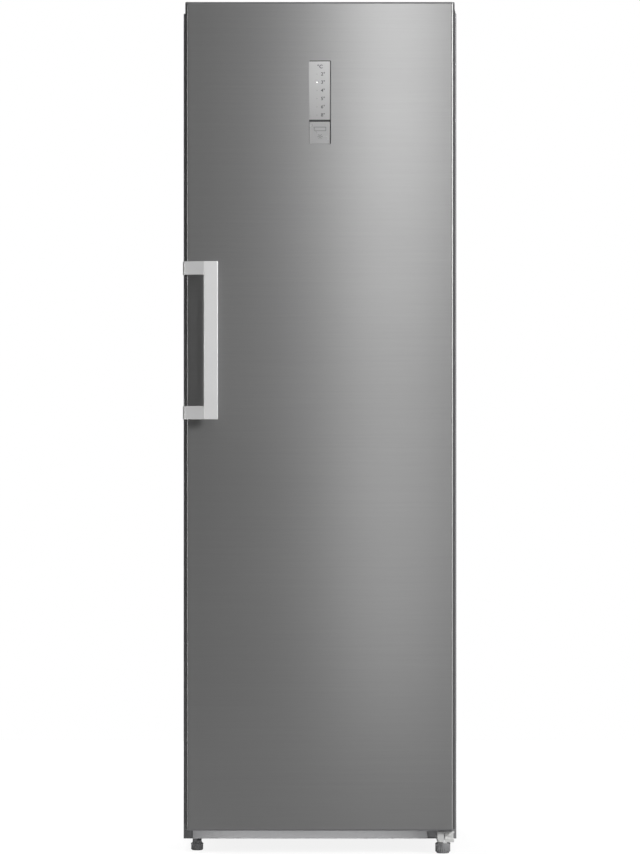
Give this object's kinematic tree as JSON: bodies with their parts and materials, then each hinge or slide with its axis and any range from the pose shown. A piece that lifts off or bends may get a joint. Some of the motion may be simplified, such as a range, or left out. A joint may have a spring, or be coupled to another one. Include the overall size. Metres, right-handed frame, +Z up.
{
  "type": "refrigerator",
  "caption": "Tall upright larder refrigerator with one brushed steel door, a flat bar handle, a small control panel, glass shelves, door balconies and crisper drawers.",
  "frame": {"origin": "centre of the bounding box in plan, at the floor", "axes": "+Z up, -Y out of the door front, +X to the right seen from the front"},
  "size_m": [0.595, 0.695, 1.845],
  "materials": {
    "door_steel": "horizontally brushed, satin",
    "cabinet_paint": "smooth grey paint",
    "galvanised": "galvanised sheet",
    "rail_grey": "smooth grey paint",
    "zinc": "bright zinc plate",
    "black_plastic": "fine grain",
    "foot_grey": "fine grain",
    "grey_plastic": "fine grain",
    "bay_cover": "galvanised sheet, slotted",
    "white_liner": "semi-gloss",
    "foam": "closed-cell foam",
    "fan_black": "moulded",
    "tube_metal": "drawn tube",
    "copper_tube": "drawn copper",
    "steel_tube": "bundy tube",
    "compressor_black": "gloss black paint",
    "rubber_mount": "moulded",
    "seal_grey": "soft extruded seal",
    "lamp": "frosted",
    "clear_glass": "clear toughened glass",
    "trim_silver": "satin silver",
    "chrome_wire": "bright chrome",
    "clear_plastic": "clear moulding",
    "handle_silver": "satin anodised",
    "handle_arm": "satin silver",
    "screw_steel": "plated",
    "panel_glass": "glossy smoked silver",
    "key_silver": "satin silver",
    "board_green": "solder resist"
  },
  "bodies": {
    "cabinet": {"cabinet_shell": "cabinet_paint", "back_panel": "galvanised", "base_pan": "galvanised", "compressor_tray": "galvanised", "front_rail": "rail_grey", "bottom_hinge": "zinc", "top_hinge": "zinc", "hinge_screws": "zinc", "roller_axles": "zinc", "hinge_end_cap": "black_plastic", "start_relay": "black_plastic", "control_box": "black_plastic", "power_inlet": "black_plastic", "top_hinge_cover": "grey_plastic", "compressor_cover": "bay_cover", "inner_liner": "white_liner", "air_duct": "white_liner", "drip_tray": "white_liner", "drain_tube": "white_liner", "fan_frame": "white_liner", "insulation_foam": "foam", "evaporator": "tube_metal", "refrigerant_pipes": "copper_tube", "condenser": "steel_tube", "compressor": "compressor_black", "compressor_mounts": "rubber_mount", "lamp_lens": "lamp", "shelf_1": "clear_glass", "shelf_2": "clear_glass", "shelf_3": "clear_glass", "shelf_4": "clear_glass", "shelf_5": "clear_glass", "crisper_cover": "clear_glass", "shelf_trims": "trim_silver", "bottle_rack": "chrome_wire"},
    "door": {"door_skin": "door_steel", "door_top_cap": "grey_plastic", "door_bottom_cap": "grey_plastic", "door_foam": "foam", "door_liner": "white_liner", "door_gasket": "seal_grey", "handle_bar": "handle_silver", "handle_mounts": "handle_arm", "handle_screws": "screw_steel", "panel_tub": "grey_plastic", "panel_window": "panel_glass", "panel_board": "board_green"},
    "control_key_body": {"control_key": "key_silver"},
    "balcony_1_body": {"balcony_1": "clear_plastic"},
    "balcony_2_body": {"balcony_2": "clear_plastic"},
    "balcony_3_body": {"balcony_3": "clear_plastic"},
    "balcony_4_body": {"balcony_4": "clear_plastic"},
    "balcony_5_body": {"balcony_5": "clear_plastic"},
    "drawer_left_body": {"drawer_left": "clear_plastic"},
    "drawer_right_body": {"drawer_right": "clear_plastic"},
    "foot_left_body": {"foot_left": "black_plastic"},
    "foot_right_body": {"foot_right": "foot_grey"},
    "roller_left_body": {"roller_left": "black_plastic"},
    "roller_right_body": {"roller_right": "black_plastic"},
    "fan_rotor_body": {"fan_rotor": "fan_black"}
  },
  "joints": [
    {"name": "door_hinge", "type": "hinge", "parent": "cabinet", "child": "door", "pos_m": [0.2775, -0.2725, 0.05], "axis": [0, 0, 1], "range_deg": [0, 130]},
    {"name": "control_key_press", "type": "slide", "parent": "door", "child": "control_key_body", "axis": [0, 1, 0], "range_m": [0, 0.0008], "stiffness_N_per_m": 1500},
    {"name": "balcony_1_lift", "type": "slide", "parent": "door", "child": "balcony_1_body", "axis": [0, 0, 1], "range_m": [0, 0.02]},
    {"name": "balcony_2_lift", "type": "slide", "parent": "door", "child": "balcony_2_body", "axis": [0, 0, 1], "range_m": [0, 0.02]},
    {"name": "balcony_3_lift", "type": "slide", "parent": "door", "child": "balcony_3_body", "axis": [0, 0, 1], "range_m": [0, 0.02]},
    {"name": "balcony_4_lift", "type": "slide", "parent": "door", "child": "balcony_4_body", "axis": [0, 0, 1], "range_m": [0, 0.02]},
    {"name": "balcony_5_lift", "type": "slide", "parent": "door", "child": "balcony_5_body", "axis": [0, 0, 1], "range_m": [0, 0.02]},
    {"name": "drawer_left_slide", "type": "slide", "parent": "cabinet", "child": "drawer_left_body", "axis": [0, -1, 0], "range_m": [0, 0.19]},
    {"name": "drawer_right_slide", "type": "slide", "parent": "cabinet", "child": "drawer_right_body", "axis": [0, -1, 0], "range_m": [0, 0.19]},
    {"name": "foot_left_thread", "type": "slide", "parent": "cabinet", "child": "foot_left_body", "axis": [0, 0, -1], "range_m": [-0.002, 0.015]},
    {"name": "foot_right_thread", "type": "slide", "parent": "cabinet", "child": "foot_right_body", "axis": [0, 0, -1], "range_m": [-0.002, 0.015]},
    {"name": "roller_left_turn", "type": "hinge", "parent": "cabinet", "child": "roller_left_body", "pos_m": [-0.23, 0.3025, 0.0135], "axis": [1, 0, 0], "continuous": true},
    {"name": "roller_right_turn", "type": "hinge", "parent": "cabinet", "child": "roller_right_body", "pos_m": [0.23, 0.3025, 0.0135], "axis": [1, 0, 0], "continuous": true},
    {"name": "fan_turn", "type": "hinge", "parent": "cabinet", "child": "fan_rotor_body", "pos_m": [0, 0.25, 1.6425], "axis": [0, 1, 0], "continuous": true}
  ],
  "couplings": [
    {"joint": "drawer_left_slide", "follows": "door_hinge", "m_per_rad": 0.08373},
    {"joint": "drawer_right_slide", "follows": "door_hinge", "m_per_rad": 0.08373}
  ]
}
